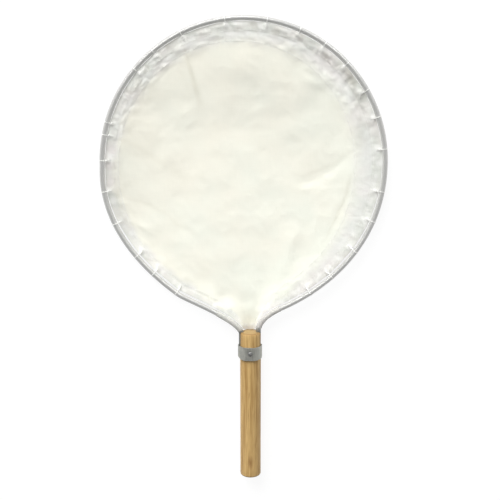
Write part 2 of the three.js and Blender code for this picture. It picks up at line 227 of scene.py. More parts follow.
def side_line(sign):
    """Points down one side of the hoop, from its top to where the leg starts."""
    k = SIDES[sign]
    angle = np.linspace(0, pi / 2, 180)
    upper = np.stack([sign * HALF_WIDTH * np.sin(angle), WIDEST_Y + RISE * np.cos(angle)], 1)
    slope = radians(k["slope"])
    way = np.array([-sign * cos(slope), -sin(slope)])
    middle = np.array(k["shoulder"]) * (sign, 1)
    top = np.array([HANDLE_X + k["leg"], k["top"]])
    widest = np.array([sign * HALF_WIDTH, WIDEST_Y])
    before, after = k["ahead"]
    lower = bezier(widest, widest - (0, k["reach"]), middle - before * way, middle, 160)
    neck = bezier(middle, middle + after * way, top + (0, k["up"]), top, 70)
    return np.concatenate([upper, lower, neck])


def leg_line(sign):
    """Points down the leg and round its hook to the rod's end inside the handle."""
    k = SIDES[sign]
    x = HANDLE_X + k["leg"]
    angle = np.linspace(0, pi / 2, 12)
    bend_x = x - sign * HOOK_RADIUS * (1 - np.cos(angle))
    bend_y = HOOK_Y + HOOK_RADIUS * (1 - np.sin(angle))
    straight = [[x, y] for y in np.linspace(k["top"], HOOK_Y + HOOK_RADIUS, 8)[1:-1]]
    return np.concatenate([straight, np.stack([bend_x, bend_y], 1), [[HANDLE_X + sign * HOOK_TIP, HOOK_Y]]])


half = {sign: Line(side_line(sign)) for sign in (-1, 1)}


def inward(sign, s):
    return half[sign].tangent(s)[..., ::-1] * (sign, -sign)


# Materials

def rgba(color):
    """A colour with its alpha, from three numbers or from one for a grey."""
    return (*color, 1) if hasattr(color, "__len__") else (color, color, color, 1)


class Nodes:
    """A node tree under construction."""

    def __init__(self, tree):
        self.tree = tree
        self.coords = self.node("TexCoord").outputs

    def feed(self, socket, value):
        """Gives a socket what it takes: another node's output, a colour or a number."""
        if isinstance(value, bpy.types.NodeSocket):
            self.tree.links.new(value, socket)
        else:
            socket.default_value = rgba(value) if socket.type == "RGBA" else value

    def node(self, kind, *inputs, **named):
        """A new node, its first inputs fed in order and its settings and other inputs by name."""
        made = self.tree.nodes.new("ShaderNode" + kind)
        for name, value in named.items():
            if hasattr(made, name):
                setattr(made, name, value)
            else:
                self.feed(made.inputs[name], value)
        for socket, value in zip(made.inputs, inputs):
            self.feed(socket, value)
        return made

    def stretched(self, scale, source="Object"):
        return self.node("Mapping", self.coords[source], Scale=scale).outputs["Vector"]

    def split(self, vector):
        return self.node("SeparateXYZ", vector).outputs

    def distance(self, scale, point):
        """How far a place is from a point, in stretched coordinates."""
        return self.node("VectorMath", self.stretched(scale), point, operation="DISTANCE").outputs["Value"]

    def noise(self, scale, detail=3, distortion=0, source="Object"):
        """Noise of one scale, or of one for each axis."""
        vector = self.coords[source]
        if hasattr(scale, "__len__"):
            vector, scale = self.stretched(scale, source), 1
        return self.node("TexNoise", vector, Scale=scale, Detail=detail, Distortion=distortion).outputs["Fac"]

    def ramp(self, factor, *stops):
        made = self.node("ValToRGB", factor)
        elements = made.color_ramp.elements
        while len(elements) < len(stops):
            elements.new(0.5)
        for element, (at, value) in zip(elements, stops):
            element.position = at
            element.color = rgba(value)
        return made.outputs["Color"]

    def mix(self, factor, a, b, blend="MIX"):
        made = self.node("Mix", factor, data_type="RGBA", blend_type=blend)
        self.feed(made.inputs[6], a)
        self.feed(made.inputs[7], b)
        return made.outputs[2]

    def math(self, operation, *values):
        return self.node("Math", *values, operation=operation).outputs[0]


class Shader(Nodes):
    """A material under construction, with one Principled shader."""

    def __init__(self, name, roughness=0.5, metallic=0, specular=0.5):
        self.material = bpy.data.materials.new(name)
        self.material.use_nodes = True
        super().__init__(self.material.node_tree)
        self.main = self.tree.nodes["Principled BSDF"]
        self.set("Roughness", roughness)
        self.set("Metallic", metallic)
        self.set("Specular IOR Level", specular)

    def set(self, socket, value):
        self.feed(self.main.inputs[socket], value)

    def bump(self, height, strength, distance):
        made = self.node("Bump", Height=height, Strength=strength, Distance=distance)
        self.set("Normal", made.outputs["Normal"])
        return made.outputs["Normal"]

    def mixed(self, factor, first, second):
        return self.node("MixShader", factor, first, second).outputs[0]

    def finish(self, surface):
        """Shows another surface in place of the Principled shader alone."""
        self.feed(self.tree.nodes["Material Output"].inputs["Surface"], surface)


def rod_material():
    s = Shader("bright_rod", metallic=0.5)
    lines = s.noise((4, 900, 1), 4, source="UV")
    cloudy = s.noise(60)
    clean = s.mix(cloudy, (0.6, 0.6, 0.58), (0.7, 0.7, 0.68))
    marked = s.mix(s.ramp(lines, (0.35, 0), (0.7, 0.5)), clean, (0.4, 0.4, 0.385))
    # painted shade: darker where it runs beside the wood and into its slots
    along = s.math("MULTIPLY_ADD", cloudy, 0.004, s.split(s.coords["Object"])["Y"])
    slot_shade = s.ramp(s.math("ADD", along, 0.5), (0.418, 1), (0.426, 0))
    s.set("Base Color", s.mix(slot_shade, marked, (0.17, 0.17, 0.15)))
    s.set("Roughness", s.ramp(lines, (0.3, 0.26), (0.75, 0.4)))
    s.bump(lines, 0.12, 0.0001)
    return s.material


def wood_material():
    s = Shader("pale_wood", specular=0.35)
    growth = s.noise((230, 4.5, 230), 4, 0.6)
    fibres = s.noise((1000, 60, 1000), 6, 0.4)
    streaks = s.noise((330, 9, 330))
    pale, warm, brown = (0.63, 0.425, 0.175), (0.53, 0.34, 0.13), (0.37, 0.215, 0.07)
    rings = ((0.3, warm), (0.4, pale), (0.47, brown), (0.5, warm), (0.56, pale), (0.64, warm), (0.7, brown))
    base = s.ramp(growth, *rings, (0.75, pale))
    base = s.mix(s.ramp(streaks, (0.48, 0), (0.68, 0.6)), base, brown)
    base = s.mix(s.ramp(fibres, (0.46, 0), (0.72, 0.6)), base, (0.32, 0.18, 0.06))
    # one small knot on the upper side near the butt
    from_knot = s.distance((1, 0.4, 1), (0.0072, -0.2308 * 0.4, 0.0235))
    base = s.mix(s.ramp(from_knot, (0.0005, 0.8), (0.0022, 0)), base, (0.25, 0.12, 0.04))
    # paler sawn end grain, with painted shade darkening round its rim
    facing = s.math("ABSOLUTE", s.split(s.node("NewGeometry").outputs["Normal"])["Y"])
    end_color = s.mix(s.noise(2600, 2), (0.32, 0.21, 0.085), (0.41, 0.295, 0.14))
    from_axis = s.distance((1, 0, 1), (HANDLE_X * MM, 0, AXIS_Z * MM))
    end_color = s.mix(s.ramp(from_axis, (0.0084, 0), (0.0098, 0.85)), end_color, (0.15, 0.08, 0.03))
    base = s.mix(s.ramp(facing, (0.6, 0), (0.85, 0.75)), base, end_color)
    # a painted dark line of shade on the chamfer round the end
    edge = s.ramp(facing, (0.3, 0), (0.5, 0.55), (0.75, 0.55), (0.95, 0))
    s.set("Base Color", s.mix(edge, base, (0.3, 0.17, 0.06)))
    s.set("Roughness", s.ramp(fibres, (0.3, 0.42), (0.8, 0.62)))
    s.bump(s.math("ADD", fibres, streaks), 0.25, 0.0002)
    return s.material


def galvanised_material():
    s = Shader("galvanised_sheet", metallic=0.8)
    spangle = s.node("TexVoronoi", s.coords["Object"], Scale=420).outputs["Color"]
    scratches = s.noise((1900, 60, 1900), 5)
    dull = s.noise(140, 4)
    base = s.mix(spangle, (0.415, 0.42, 0.385), (0.52, 0.52, 0.47))
    base = s.mix(s.ramp(scratches, (0.45, 0), (0.68, 0.75)), base, (0.24, 0.245, 0.225))
    s.set("Base Color", s.mix(s.ramp(dull, (0.45, 0), (0.75, 0.5)), base, (0.42, 0.42, 0.38)))
    s.set("Roughness", s.ramp(dull, (0.3, 0.46), (0.7, 0.66)))
    s.bump(scratches, 0.3, 0.0001)
    return s.material


def nail_material():
    s = Shader("steel_nail", metallic=1)
    marks = s.noise(900)
    # a painted highlight: bright in one spot up and to the left, and the rest of the head dark
    from_highlight = s.distance((1, 1, 0), ((NAIL_AT[0] - 0.4) * MM, (NAIL_AT[1] + 0.7) * MM, 0))
    outside_highlight = s.ramp(from_highlight, (0.0005, 0), (0.0011, 1))
    bright = s.mix(marks, (0.5, 0.5, 0.49), (0.68, 0.68, 0.66))
    s.set("Base Color", s.mix(outside_highlight, bright, (0.04, 0.04, 0.035)))
    s.set("Roughness", s.ramp(marks, (0.3, 0.12), (0.7, 0.22)))
    s.bump(marks, 0.1, 0.0002)
    return s.material


WEAVE = 0.62


def cloth_material(name, cover, through):
    """A fine plain weave. cover is how much of the light the threads stop, through how much they let glow.

    Attributes say where it is creamy, where it is whiter in random streaks and in a painted highlight at the
    lashings, and where shade is painted darker into its creases and crumples.
    """
    s = Shader(name, 0.85, specular=0.15)
    s.set("Sheen Weight", 0.15)
    s.set("Sheen Roughness", 0.5)
    place = s.split(s.coords["Object"])
    turns = 2 * pi / (WEAVE * MM)
    warp = s.math("SINE", s.math("MULTIPLY", place["X"], turns))
    weft = s.math("SINE", s.math("MULTIPLY", place["Y"], turns))
    slubs = s.math("ADD", s.noise((60, 1400, 60), 2), s.noise((1400, 60, 60), 2))
    slubs = s.math("MULTIPLY", slubs, 0.5)
    highlight_and_streaks, creamy, painted_shade = (
        s.node("Attribute", attribute_name=kind).outputs["Fac"] for kind in ("highlight_and_streaks", "creamy", "painted_shade")
    )
    tints = ((0.36, (0.835, 0.85, 0.8)), (0.5, (0.885, 0.88, 0.835)), (0.64, (0.875, 0.85, 0.82)))
    # whiter where a highlight is painted at the lashings, and in random streaks near the rim
    sheer = s.mix(highlight_and_streaks, s.ramp(s.noise(38, 2), *tints), (0.97, 0.97, 0.94))
    # faintly pink from age at the far left, faintly green at the near right
    lean = s.math("SUBTRACT", place["X"], s.math("MULTIPLY", place["Y"], 0.6))
    aged = s.math("MULTIPLY_ADD", lean, 1.2, s.noise(17, 2))
    creams = ((0.25, (0.985, 0.965, 0.845)), (0.45, (0.97, 0.965, 0.85)), (0.65, (0.95, 0.965, 0.855)))
    cream = s.ramp(aged, *creams)
    # the last attribute multiplies the cloth darker: painted shade in its creases and crumples
    base = s.mix(painted_shade, s.mix(creamy, sheer, cream), (0.8, 0.79, 0.76), "MULTIPLY")
    s.set("Base Color", s.mix(s.ramp(slubs, (0.3, 0.03), (0.7, 0)), base, (0.6, 0.58, 0.5)))
    threads = s.math("MULTIPLY_ADD", slubs, 1.5, s.math("MULTIPLY", warp, weft))
    normal = s.bump(threads, 0.25, 0.00012)
    glow = s.node("BsdfTranslucent", Color=base, Normal=normal).outputs[0]
    fabric = s.mixed(through, s.main.outputs[0], glow)
    low, high = cover
    covered = s.math("MAXIMUM", s.math("ABSOLUTE", warp), s.math("ABSOLUTE", weft))
    alpha = s.math("MULTIPLY_ADD", covered, high - low, low)
    alpha = s.math("MULTIPLY_ADD", s.math("SUBTRACT", slubs, 0.5), 0.06, alpha)
    s.finish(s.mixed(alpha, s.node("BsdfTransparent").outputs[0], fabric))
    return s.material


def thread_material():
    s = Shader("white_thread", 0.7, specular=0.25)
    bands = dict(wave_type="BANDS", bands_direction="DIAGONAL", Scale=700, Distortion=1)
    twist = s.node("TexWave", s.coords["Object"], **bands).outputs["Fac"]
    s.set("Base Color", s.mix(twist, (0.92, 0.92, 0.89), (0.98, 0.98, 0.95)))
    s.bump(s.math("ADD", twist, s.noise(1800, 2)), 0.4, 0.0001)
    return s.material


THREAD = thread_material()
WHITE_CLOTH = cloth_material("sheer_white_mesh", (0.84, 0.97), 0.2)
VEIL = cloth_material("sheer_white_veil", (0.22, 0.42), 0.3)
CREAM_CLOTH = cloth_material("cream_mesh", (0.93, 1), 0.12)


# Hoop

def hoop():
    """The whole rod, from hook to hook, with its length as a texture coordinate."""
    left, right = (np.concatenate([half[sign].points, leg_line(sign)]) for sign in (-1, 1))
    line = Line(np.concatenate([left[::-1], right[1:]]))
    s = np.linspace(0, line.length, 760)
    sides = 28
    tubing = tube(level(line.at(s), AXIS_Z), ROD_RADIUS, sides)
    piece = net_piece("rod_hoop", *tubing, rod_material(), "rod", ["hoop"])
    layer = piece.data.uv_layers.new(name="along")
    corner = np.array([loop.vertex_index for loop in piece.data.loops])
    layer.data.foreach_set("uv", np.column_stack([s[corner // sides] * MM, corner % sides / sides]).ravel())


# Handle: a turned dowel with its slots, cross holes and nail hole cut in

def lathe(profile, sides, along_y=True):
    """A closed turned body from (radius, height) pairs that start and end on the axis."""
    inner = profile[1:-1]
    points = [(r * cos(a), r * sin(a), height) for r, height in inner for a in turn_round(sides)]
    faces = grid_faces(len(inner), sides, wrap_columns=True)
    for (_, height), row in ((profile[0], 0), (profile[-1], len(inner) - 1)):
        centre = len(points)
        points.append((0, 0, height))
        faces += [(centre, row * sides + j, row * sides + (j + 1) % sides) for j in range(sides)]
    verts = np.array(points)
    return (verts[:, [0, 2, 1]] if along_y else verts), faces


def box_mesh(low, high):
    (x0, y0, z0), (x1, y1, z1) = low, high
    verts = [(x, y, z) for x in (x0, x1) for y in (y0, y1) for z in (z0, z1)]
    return verts, [(0, 1, 3, 2), (4, 6, 7, 5), (0, 4, 5, 1), (2, 3, 7, 6), (0, 2, 6, 4), (1, 5, 7, 3)]


def handle_cutters():
    """What is cut out of the handle: a slot and a cross hole for each leg, and the nail's hole."""
    beyond, wide = 3, ROD_RADIUS + GAP
    cutters = []
    for sign in (-1, 1):
        x = HANDLE_X + SIDES[sign]["leg"]
        outside = HANDLE_X + sign * (HANDLE_RADIUS + beyond)
        low = (min(x, outside), HOOK_Y - wide, AXIS_Z - wide)
        cutters.append(box_mesh(low, (max(x, outside), HANDLE_END_Y + beyond, AXIS_Z + wide)))
        start, end = [[x, HANDLE_END_Y + beyond]], [[HANDLE_X + sign * (HOOK_TIP - GAP), HOOK_Y]]
        cutters.append(tube(level(np.concatenate([start, leg_line(sign)[1:], end]), AXIS_Z), wide, 32))
    cutters.append(tube([(*NAIL_AT, z) for z in (13.8, 20, 30)], 1.5, 20))
    return cutters


def handle():
    rounding, chamfer, ease = 2.5, 1.2, 0.15
    profile = [(0, BUTT_Y)]
    for a in np.linspace(0, pi / 2, 9):
        profile.append((HANDLE_RADIUS - rounding * (1 - sin(a)), BUTT_Y + rounding * (1 - cos(a))))
    profile += [(HANDLE_RADIUS, y) for y in np.linspace(BUTT_Y + 12, HANDLE_END_Y - 6, 22)]
    profile += [
        (HANDLE_RADIUS, HANDLE_END_Y - chamfer - 0.25), (HANDLE_RADIUS - 0.08, HANDLE_END_Y - chamfer + 0.05),
        (HANDLE_RADIUS - chamfer + ease, HANDLE_END_Y - ease), (HANDLE_RADIUS - chamfer - ease, HANDLE_END_Y),
        (0, HANDLE_END_Y),
    ]
    verts, faces = lathe(profile, 112)
    # a hand-sanded dowel is never quite round or straight
    uneven = wander(verts, 26, 3.3) * 0.1
    verts[:, ::2] *= 1 + (uneven / np.hypot(verts[:, 0], verts[:, 2]).clip(3))[:, None]
    verts += (HANDLE_X, 0, AXIS_Z)
    piece = net_piece("wood_handle", verts, faces, wood_material(), "wood", ["handle"])
    cutters = [smooth_piece("cutter", *cut) for cut in handle_cutters()]
    for cutter in cutters:
        modifier = piece.modifiers.new("cut", "BOOLEAN")
        modifier.operation = "DIFFERENCE"
        modifier.solver = "EXACT"
        modifier.object = cutter
    applied(piece)
    for cutter in cutters:
        bpy.data.objects.remove(cutter)
    piece.data.shade_smooth()
    piece.data.set_sharp_from_angle(angle=radians(32))


# Strap and nail

def strap():
    """A strip wound once round handle and legs, from its hidden inner end to its outer end on top."""
    hidden, outer = 118, 55
    bulge, bulge_reach = ROD_RADIUS - SIDES[-1]["leg"] - HANDLE_RADIUS, 50
    rings, rows = 220, 25
    turns = np.linspace(0, 360 + hidden - outer, rings)
    turned, down = np.repeat(turns, rows), np.tile(np.linspace(0, 1, rows), rings)
    angle = (hidden - turned) % 360
    a = np.radians(angle)
    # it stands out over the left leg and a little at the right one, less so where its lower edge is drawn in
    from_left = np.minimum(np.abs(angle - 180), bulge_reach)
    from_right = np.minimum(angle, 360 - angle)
    stands = bulge * np.cos(np.radians(90 * from_left / bulge_reach)) ** 2
    stands += 0.25 * np.exp(-((from_right / 16) ** 2))
    stands *= 1 - smoothstep(0.84, 1, down) * 0.9
    radius = HANDLE_RADIUS + GAP + stands + (STRAP_THICKNESS + GAP) * smoothstep(325, 355, turned)
    x, z = HANDLE_X + radius * np.cos(a), AXIS_Z + radius * np.sin(a)
    # hand-cut edges waver, and the sheet is dished where the nail draws it down
    waver = 0.22 * wander(np.column_stack([turned / 24, 5 * np.round(down)]), 1, 1.7)
    y = STRAP_TOP_Y - STRAP_WIDTH * down + waver * (1 - 4 * down * (1 - down))
    near = np.hypot(x - NAIL_AT[0], y - NAIL_AT[1])
    dish = 0.22 * np.exp(-((near / 4.2) ** 2)) * ((angle > 40) & (angle < 140))
    dented = 0.07 * wander(np.column_stack([x, y, z]), (4, 5, 4), 0) - dish
    verts = np.column_stack([x + dented * np.cos(a), y, z + dented * np.sin(a)])
    faces = grid_faces(rings, rows)
    piece = net_piece("sheet_strap", verts, faces, galvanised_material(), "galvanised", ["strap"])
    solid = piece.modifiers.new("sheet", "SOLIDIFY")
    solid.thickness = STRAP_THICKNESS * MM
    solid.offset = 1
    edge = piece.modifiers.new("edges", "BEVEL")
    edge.width = 0.14 * MM
    edge.segments = 2
    edge.limit_method = "ANGLE"
    edge.angle_limit = radians(50)
    applied(piece)


def nail():
    head, rise, rim, shank, length, point = 2.7, 1.6, 0.18, 1.2, 12, 2.5
    profile = [(0, -length), (shank, -length + point), (shank, 0.02), (head - rim, 0), (head, rim)]
    for a in np.linspace(0, pi / 2, 9)[1:-1]:
        profile.append((head * cos(a) ** 0.9, rim + (rise - rim) * sin(a)))
    profile.append((0, rise))
    verts, faces = lathe(profile, 40, along_y=False)
    # a hammer has left its marks on the head
    verts[:, 2] += wander(verts * (1, 1, 0), 1.1, 8.2) * 0.14 * smoothstep(0.3, 1.2, verts[:, 2])
    verts += (*NAIL_AT, AXIS_Z + HANDLE_RADIUS + 2 * (STRAP_THICKNESS + GAP) + GAP)
    net_piece("round_nail", verts, faces, nail_material(), "nail", ["strap_nail"])


hoop()
handle()
strap()
nail()


# The bag's mouth: stations all round, just inside the rod. Between the rods at the neck, where neck_dip is
# above nought, its edge runs free in front of the handle

CLOTH_FROM_ROD = ROD_RADIUS + 0.12
STATION = 1.25
LEAST_SQUARE = 0.6
FREE_EDGE = np.linspace(0, 1, 14)[1:-1]
FROM_ANY_TIE = 20


def mouth():
    """For each station its place, the way square in from the rod, how far the next lashing is, neck_dip."""
    stretches = []
    for sign, order in ((-1, 1), (1, -1)):
        line = half[sign]
        s = np.arange(0 if sign < 0 else STATION, line.length, STATION)
        normal = inward(sign, s)
        place = line.at(s) + normal * CLOTH_FROM_ROD
        keep = place[:, 1] > NECK_EDGE_Y + 1.5
        tie = np.array([min(v - np.asarray(LASHINGS[sign]), key=abs) for v in s]) * -sign
        side = np.column_stack([place, normal, tie, 0 * s])[keep][::order]
        if sign > 0:
            start, end = stretches[0][-1, :2], side[0, :2]
            bow = np.sin(pi * FREE_EDGE) ** 0.4
            across = start + (end - start) * FREE_EDGE[:, None]
            across[:, 1] += (NECK_EDGE_Y - across[:, 1]) * bow
            rest = np.tile([0, LEAST_SQUARE, FROM_ANY_TIE], (len(bow), 1))
            stretches.append(np.column_stack([across, rest, bow]))
        stretches.append(side)
    stations = np.concatenate(stretches)
    return stations[:, :2], stations[:, 2:4], stations[:, 4], stations[:, 5]


def evened(values, count):
    """Values round the mouth, each the mean of an odd count of them."""
    n = count // 2
    return np.convolve(np.concatenate([values[-n:], values, values[:n]]), np.ones(count) / count, "valid")


rim, rim_inward, from_tie, neck_dip = mouth()
COUNT = len(rim)
STATIONS = np.arange(COUNT)
way = BAG_MIDDLE - rim
way /= norm(way, axis=1, keepdims=True)
square = evened(np.maximum((way * rim_inward).sum(1), LEAST_SQUARE), 37)
theta = np.degrees(np.arctan2(-way[:, 1], -way[:, 0])) % 360
# the bands narrow toward the neck, and the hem at the lower left
full = smoothstep(10, 60, np.hypot(rim[:, 0] - HANDLE_X, rim[:, 1] - NECK_EDGE_Y))
hem_width = 10.5 * (0.3 + 0.7 * full)
hem_width *= 1 - 0.42 * smoothstep(192, 215, theta) * (1 - smoothstep(255, 268, theta))
direction = np.radians(theta)
wall_width = 9 + 7 * np.cos(direction) + 2.5 * np.sin(direction) + 1.5 * np.cos(np.radians(2 * theta))
wall_width *= 0.2 + 0.8 * full
rim_line = Line(rim, closed=True)
rim_turn = 2 * pi * rim_line.along[:-1] / rim_line.length
rim_radius = rim_line.length / (2 * pi)


def by_direction(table):
    """A value for each station from (direction in degrees, value) pairs, evened out a little."""
    return evened(np.interp(theta, *zip(*table), period=360), 21)


def inset(width):
    """Plan points at a width of cloth in from the rim, one for all stations or one for each."""
    return rim + way * (width / square)[:, None]


# Heights by direction from the middle of the bag: 90 is the far side of the hoop, 270 the neck
RIM_Z = (
    (0, 12), (30, 12.6), (50, 13.3), (75, 13.4), (120, 12.5), (160, 11.6), (190, 10.4), (210, 6.2),
    (250, 6.2), (262, 9.6), (278, 9.6), (290, 8.4), (320, 7.6), (345, 10),
)
HEM_Z = (
    (0, 9.8), (40, 9.6), (65, 10.6), (90, 12), (120, 11.8), (150, 11.2), (180, 9.8), (205, 3.9), (250, 3.9),
    (262, 7.2), (278, 7.2), (290, 6.4), (320, 5.9), (345, 7.8),
)
SEAM_Z = (
    (0, 6.6), (20, 6.6), (45, 7.2), (65, 8.8), (90, 10.8), (125, 10.2), (155, 10), (180, 8.6), (205, 3.5),
    (245, 3.5), (262, 5.8), (278, 5.8), (290, 5), (305, 4.5), (335, 4.8),
)
rim_z = by_direction(RIM_Z) - 5 * neck_dip
hem_z = by_direction(HEM_Z) - 2.6 * neck_dip
seam_z = by_direction(SEAM_Z) - 1.1 * neck_dip

# Heights of the bottom between them, as (x, y, z)
SHAPE = (
    (-44, 206, 9.2), (7, 210, 9.8), (58, 203, 8), (-78, 183, 8.2), (-50, 184, 7), (7, 186, 6.8),
    (53, 184, 6.3), (84, 172, 5.6), (-94, 160, 6.8), (-66, 159, 4.9), (-30, 161, 4.2), (7, 164, 4.1),
    (43, 162, 4.3), (79, 160, 4.6), (7, 149, 2.6), (43, 147, 3), (-87, 133, 4.4), (-46, 133, 2.2),
    (-4, 135, 1.6), (38, 133, 2.1), (74, 131, 2.7), (100, 130, 4), (-99, 96, 3.9), (-46, 96, 1.3),
    (7, 101, 1), (49, 103, 1.1), (80, 101, 1.7), (100, 96, 3), (-106, 64, 3.2), (-68, 59, 1.2),
    (-4, 59, 1), (49, 69, 1.1), (81, 64, 1.9), (100, 66, 2.8), (-98, 32, 2.8), (-57, 26, 1.8),
    (-4, 21, 1.4), (39, 26, 1.6), (71, 32, 2), (-74, 2, 2.2), (-36, -9, 2.5), (1, -15, 2.6), (39, -9, 2.6),
    (66, 4, 2.9), (-42, -32, 2.7), (-4, -39, 3.6), (28, -34, 3.5), (-25, -50, 3.2), (-3, -59, 4.1),
    (16, -56, 4.2), (1, -69, 4.6), (9, -69, 4.6),
)


class Surface:
    """A thin-plate spline near (x, y, z) points."""
    STIFFNESS = 20

    def __init__(self, points):
        self.plan, heights = points[:, :2], points[:, 2]
        stiff = self.radial(self.plan) + self.STIFFNESS * np.eye(len(points))
        plane = np.column_stack([np.ones(len(points)), self.plan])
        system = np.block([[stiff, plane], [plane.T, np.zeros((3, 3))]])
        self.weights = solve(system, np.concatenate([heights, np.zeros(3)]))

    def radial(self, places):
        r2 = ((places[:, None, :] - self.plan[None]) ** 2).sum(2)
        return 0.5 * r2 * np.log(np.maximum(r2, 1e-9))

    def at(self, places):
        return self.radial(places) @ self.weights[:-3] + self.weights[-3] + places @ self.weights[-2:]


held = np.unique(np.concatenate([STATIONS[::14], STATIONS[neck_dip > 0][1::3]]))
surface = Surface(np.concatenate([
    level(inset(hem_width), hem_z)[held],
    level(inset(hem_width + wall_width), seam_z)[held],
    np.array(SHAPE, float),
]))

# How strongly the cloth is crumpled along the ring and puckered square to it, by direction
CRUMPLED = (
    (0, 0.25), (18, 0.5), (30, 1.5), (68, 1.5), (80, 0.7), (112, 0.6), (122, 0.9), (150, 0.8), (175, 0.4),
    (230, 0.25), (285, 0.2), (330, 0.3),
)
PUCKERED = (
    (0, 0.5), (30, 0.8), (80, 0.8), (110, 0.9), (150, 0.9), (182, 0.25), (205, 0.3), (235, 0.6), (258, 0.7),
    (268, 0.3), (280, 0.8), (300, 1), (340, 1),
)
crumpled, puckered = by_direction(CRUMPLED), by_direction(PUCKERED)


def creases(points, size, seed):
    """Sharp-crested noise, as small creases in limp cloth are."""
    return 1 - 2 * np.abs(wander(points, size, seed)) ** 0.8


def facets(points, size, seed):
    """Flat-sided dents with straight ridges, from 0 to about 1, as in crumpled cloth."""
    cells = [noise.voronoi(Vector((x, y, z + seed)))[0] for x, y, z in points / np.array(size)]
    return np.array([second - first for first, second, *_ in cells])


# The creases that each lashing draws: how far each leans from the thread's way, and how strong it is
DRAWN = ((-0.45, 0.8), (0.05, 1), (0.5, 0.7))


def ring_relief(k, u):
    """Gathers near the rod, at stations k and widths u in from the rim."""
    place = np.column_stack([rim_radius * np.cos(rim_turn[k]), rim_radius * np.sin(rim_turn[k]), u])
    out = smoothstep(0, 4, u)
    slanted = place + u[:, None] * (0.8, 0.8, 0)
    crumple = 1.3 * facets(slanted, (15, 15, 7.5), 41) + 0.5 * wander(place, (12, 12, 5), 42)
    crumple *= crumpled[k] * out * (1 - smoothstep(hem_width[k] + 5, hem_width[k] + 18, u))
    pucker = 0.6 * creases(place, (4.5, 4.5, 22), 43) + 0.6 * wander(place, (10, 10, 30), 44)
    pucker *= puckered[k] * out * np.exp(-((u / 9) ** 2))
    drawn = np.zeros(len(u))
    for i, (lean, strength) in enumerate(DRAWN):
        off = from_tie[k] - lean * u + 1.5 * wander(place, (40, 40, 200), 45 + i)
        drawn += strength * np.exp(-((off / (1.5 + 0.1 * u)) ** 2))
    drawn *= 0.6 * np.exp(-u / 12) * smoothstep(0, 2, u) * (0.2 + 0.8 * puckered[k])
    return crumple + pucker + drawn


# How far in from the rim the cloth starts to look creamy, and where it is wholly so, by direction
CREAM_FROM = ((0, 13), (90, 9), (150, 8), (180, 5), (205, 3), (245, 5), (258, 1), (282, 1), (300, 6))
CREAM_BY = ((0, 38), (90, 30), (150, 23), (180, 17), (205, 14), (245, 15), (258, 6), (282, 8), (300, 24))
cream_from, cream_by = by_direction(CREAM_FROM), by_direction(CREAM_BY)

# Creases with shade painted into them: how dark each is, its half-width at either end, and points along it
SHADED_CREASES = (
    (0.6, 1.2, 3.4, (-63, 224), (-57, 206), (-51, 184), (-45, 160)),
    (0.6, 4.5, 4.5, (96, 204), (108, 186), (117, 164), (121, 140), (122, 118)),
    (0.25, 8, 8, (-98, -10), (-80, -28), (-55, -45), (-30, -58)),
    (0.45, 0.8, 1.2, (112, 186), (115, 175), (121, 164), (123, 154)),
    (0.6, 0.8, 0.8, (125, 145), (127, 128)),
    (0.25, 2.5, 5, (-144, 129), (-121, 121), (-99, 106), (-77, 92), (-61, 81)),
    (0.3, 1.2, 3, (-141, 63), (-123, 61), (-100, 54), (-84, 46), (-71, 32), (-53, 23)),
    (0.25, 1.2, 1.2, (-116, 30), (-87, 25)),
    (0.5, 0.9, 0.9, (-108, -3), (-92, -9)),
    (0.55, 1.2, 1.2, (-97, -24), (-77, -32)),
    (0.35, 1, 1, (-74, -37), (-56, -46), (-46, -46)),
    (0.3, 2, 3, (48, 89), (62, 84), (82, 91), (95, 98), (112, 110)),
    (0.6, 2, 1, (113, 87), (110, 73), (105, 55), (95, 33), (83, 11)),
    (0.35, 0.8, 0.8, (108, 42), (126, 43)),
    (0.3, 0.7, 0.7, (105, 16), (116, 20)),
    (0.35, 0.7, 0.7, (94, -15), (104, -8)),
    (0.5, 15, 12, (5, -56), (7, -86)),
    (0.4, 5, 4, (-34, -56), (-16, -64), (-4, -80)),
    (0.4, 5, 4, (36, -58), (23, -68), (14, -80)),
)


def traced(points, step, waver, size, seeds, places, reach):
    """A line through points, distances along it, the places near its wavering path, and their offsets."""
    line = Line(np.array(points, float))
    s = np.arange(0, line.length, step)
    path = line.at(s)
    path += waver * wandered(path, size, *seeds)
    near = ((places > path.min(0) - reach) & (places < path.max(0) + reach)).all(1)
    return line, s, near, places[near][:, None] - path


def crease_shade(places):
    """How much shade is painted into the cloth's creases at plan points, from 0 to 1."""
    total = np.zeros(len(places))
    for strength, first, last, *points in SHADED_CREASES:
        line, s, near, offset = traced(points, 1, 1, 11, (strength, strength + 4), places, 20)
        apart = (offset**2).sum(2)
        share = s[apart.argmin(1)] / line.length
        width = first + (last - first) * share
        mark = strength * np.sin(pi * (0.03 + 0.94 * share)) ** 0.5 * np.exp(-apart.min(1) / width**2)
        total[near] = np.maximum(total[near], mark)
    return total


def colour(piece, k, u):
    """Marks where cloth is creamy, where a highlight is painted whiter, and where shade is painted darker."""
    places = np.array([vertex.co for vertex in piece.data.vertices]) / MM
    ragged = u + 4 * wander(places, 14, 51) + 1.5 * wander(places, 5, 52)
    # a painted highlight: whiter cloth spreading inward from each lashing
    lashing_highlight = np.exp(-((from_tie[k] / (2 + 0.3 * u)) ** 2)) * np.exp(-u / 9)
    streaks = smoothstep(0, 0.5, wander(places, 7, 53)) * np.exp(-((u / 13) ** 2))
    # painted shade in the crumpled ring near the rod
    crumple_shade = smoothstep(0.05, 0.45, wander(places, 9, 54)) * np.exp(-((u / 16) ** 2))
    crumple_shade *= np.minimum(crumpled[k], 1)
    for name, values in (
        ("creamy", smoothstep(cream_from[k], cream_by[k], ragged)),
        ("highlight_and_streaks", np.clip(lashing_highlight + 0.8 * streaks, 0, 1)),
        ("painted_shade", np.clip(crease_shade(places[:, :2]) + 0.6 * crumple_shade, 0, 1)),
    ):
        piece.data.attributes.new(name, "FLOAT", "POINT").data.foreach_set("value", values)


